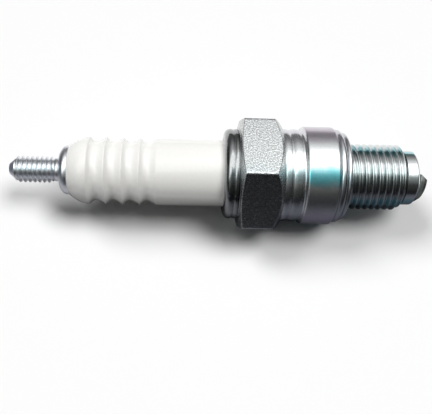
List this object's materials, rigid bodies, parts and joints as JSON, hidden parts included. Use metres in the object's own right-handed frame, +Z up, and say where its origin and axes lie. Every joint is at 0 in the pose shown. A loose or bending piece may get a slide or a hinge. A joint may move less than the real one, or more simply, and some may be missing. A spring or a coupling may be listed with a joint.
{
  "type": "spark plug",
  "caption": "Spark plug with a ribbed ceramic insulator, threaded terminal stud, hexagon, rolled steel shell, free-turning folded gasket, engine thread and bent ground electrode.",
  "frame": {"origin": "on the plug's axis, in the plane of the gasket's sealing face, where the cylinder head begins", "axes": "+X along the plug's axis, from the terminal to the firing end; +Z up, square to the hexagon's flat that the plug lies on"},
  "size_m": [0.0629, 0.0184, 0.016],
  "materials": {
    "stud_steel": "bright plated steel",
    "glazed_alumina": "white glaze",
    "plated_steel": "bright zinc plate with a faint blue and pink tint",
    "packing_steel": "plain steel",
    "talc": "pressed powder",
    "seal_glass": "fused glass with metal powder",
    "nickel": "drawn nickel alloy",
    "copper": "bare copper",
    "gasket_steel": "plated sheet steel"
  },
  "bodies": {
    "plug": {"terminal_stud": "stud_steel", "insulator": "glazed_alumina", "shell": "plated_steel", "upper_packing_ring": "packing_steel", "talc_packing": "talc", "lower_packing_ring": "packing_steel", "seat_packing": "packing_steel", "glass_seal": "seal_glass", "centre_electrode": "nickel", "copper_core": "copper", "ground_electrode": "nickel"},
    "gasket": {"gasket": "gasket_steel"}
  },
  "joints": [
    {"name": "gasket_turn", "type": "hinge", "parent": "plug", "child": "gasket", "pos_m": [-0.00096, 0, 0], "axis": [1, 0, 0], "continuous": true}
  ]
}
